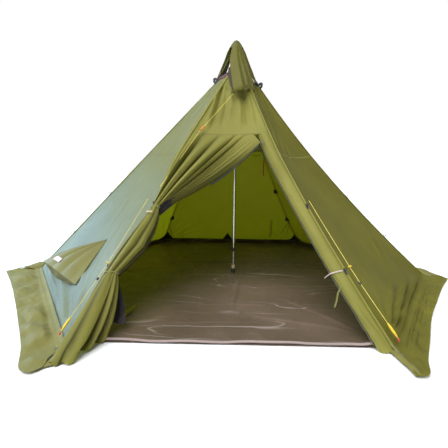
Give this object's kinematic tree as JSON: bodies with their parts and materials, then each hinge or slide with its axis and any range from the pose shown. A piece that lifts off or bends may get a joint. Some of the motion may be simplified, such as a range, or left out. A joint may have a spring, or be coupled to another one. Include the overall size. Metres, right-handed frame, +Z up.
{
  "type": "teepee tent",
  "caption": "Six-sided single-pole tent with snow valances, groundsheet, hooded top vent, low side vent and a door drawn to one side.",
  "frame": {"origin": "on the ground at the middle of the hem", "axes": "+Z up, +Y from the doorway to the back wall, +X to the right seen from the doorway"},
  "size_m": [4.8854, 4.244, 2.4485],
  "materials": {
    "cloth_olive": "polyester, matt",
    "mesh_black": "open mesh",
    "webbing_black": "woven webbing",
    "webbing_pale": "woven webbing",
    "webbing_red": "woven webbing",
    "zip_dark": "coil zip",
    "zip_metal": "satin",
    "net_grey": "mosquito net",
    "floor_cloth": "coated, semi-gloss",
    "ring_steel": "satin",
    "pole_alloy": "anodised",
    "plastic_black": "moulded",
    "plastic_beige": "moulded",
    "foot_rubber": "moulded",
    "cord_yellow": "braided cord",
    "plastic_yellow": "moulded",
    "plastic_orange": "moulded",
    "stay_wire": "coated wire"
  },
  "bodies": {
    "tent": {"panel_front_right_lower": "cloth_olive", "panel_front_right_upper": "cloth_olive", "panel_back_right_lower": "cloth_olive", "panel_back_right_upper": "cloth_olive", "panel_back_lower": "cloth_olive", "panel_back_upper": "cloth_olive", "panel_back_left_lower": "cloth_olive", "panel_back_left_upper": "cloth_olive", "panel_front_left_lower": "cloth_olive", "panel_front_left_upper": "cloth_olive", "front_top_panel": "cloth_olive", "corner_tapes": "cloth_olive", "guy_patches": "webbing_black", "door_side_strip": "cloth_olive", "door_zip_tape": "zip_dark", "net_zip_tape": "zip_dark", "door_drape": "cloth_olive", "door_roll": "cloth_olive", "door_foot": "cloth_olive", "net_roll": "net_grey", "tie_loops": "webbing_black", "valance_front_right": "cloth_olive", "valance_back_right": "cloth_olive", "valance_back": "cloth_olive", "valance_back_left": "cloth_olive", "valance_front_left": "cloth_olive", "valance_door": "cloth_olive", "groundsheet": "floor_cloth", "groundsheet_rim": "floor_cloth", "peg_rings": "ring_steel", "crown_band": "webbing_black", "crown_mesh": "mesh_black", "crown_straps": "webbing_pale", "hood_shell": "cloth_olive", "pole_top_tube": "pole_alloy", "pole_middle_tube": "pole_alloy", "pole_holder_tube": "pole_alloy", "pole_spigots": "pole_alloy", "pole_clamp": "plastic_black", "pole_cap": "plastic_black", "guy_cord_left": "cord_yellow", "guy_cord_right": "cord_yellow", "guy_beads": "plastic_black", "hood_cord": "cord_yellow", "side_vent_canopy": "cloth_olive", "side_vent_mesh": "mesh_black"},
    "pole_lower": {"pole_extension_tube": "pole_alloy", "pole_collar": "plastic_beige", "pole_foot": "foot_rubber"},
    "door_zip_slider": {"door_zip_slider": "zip_metal"},
    "net_zip_slider": {"net_zip_slider": "zip_metal"},
    "hood_flap": {"hood_flap": "cloth_olive"},
    "hood_adjuster": {"hood_adjuster": "plastic_orange"},
    "guy_adjuster_left": {"guy_adjuster_left": "plastic_yellow"},
    "guy_adjuster_right": {"guy_adjuster_right": "plastic_yellow"},
    "side_vent_stay": {"side_vent_stay": "stay_wire"},
    "door_toggle": {"door_toggle": "plastic_black"},
    "pull": {"pull_cord": "webbing_black", "pull_strap": "webbing_red"}
  },
  "joints": [
    {"name": "door_zip", "type": "slide", "parent": "tent", "child": "door_zip_slider", "axis": [0.3533, -0.6045, -0.714], "range_m": [0, 1.8]},
    {"name": "net_zip", "type": "slide", "parent": "tent", "child": "net_zip_slider", "axis": [0.3533, -0.6045, -0.714], "range_m": [0, 1.68]},
    {"name": "pole_length", "type": "slide", "parent": "tent", "child": "pole_lower", "axis": [0, 0, 1], "range_m": [0, 0.15]},
    {"name": "hood_flap_hinge", "type": "hinge", "parent": "tent", "child": "hood_flap", "pos_m": [0.036, -0.048, 2.436], "axis": [-1, 0, 0], "range_deg": [0, 20]},
    {"name": "hood_cord_slide", "type": "slide", "parent": "tent", "child": "hood_adjuster", "axis": [0.5395, 0.4877, 0.6864], "range_m": [0, 0.12]},
    {"name": "guy_slide_left", "type": "slide", "parent": "tent", "child": "guy_adjuster_left", "axis": [0.4559, 0.4939, 0.7404], "range_m": [0, 0.06]},
    {"name": "guy_slide_right", "type": "slide", "parent": "tent", "child": "guy_adjuster_right", "axis": [-0.4771, 0.4877, 0.7311], "range_m": [0, 0.06]},
    {"name": "side_vent_fold", "type": "hinge", "parent": "tent", "child": "side_vent_stay", "pos_m": [-1.67322, -0.50993, 0.20951], "axis": [-0.0682, 0.8869, 0.4569], "range_deg": [0, 65]},
    {"name": "door_toggle_turn", "type": "hinge", "parent": "tent", "child": "door_toggle", "pos_m": [-0.62421, -1.23899, 0.81929], "axis": [0, -0.7632, 0.6462], "range_deg": [-60, 60]},
    {"name": "pull_swing", "type": "hinge", "parent": "tent", "child": "pull", "pos_m": [0.4, 0.678, 1.352], "axis": [0, -1, 0], "range_deg": [-25, 25]}
  ],
  "couplings": [
    {"joint": "hood_cord_slide", "follows": "hood_flap_hinge", "m_per_rad": 0.3437}
  ]
}
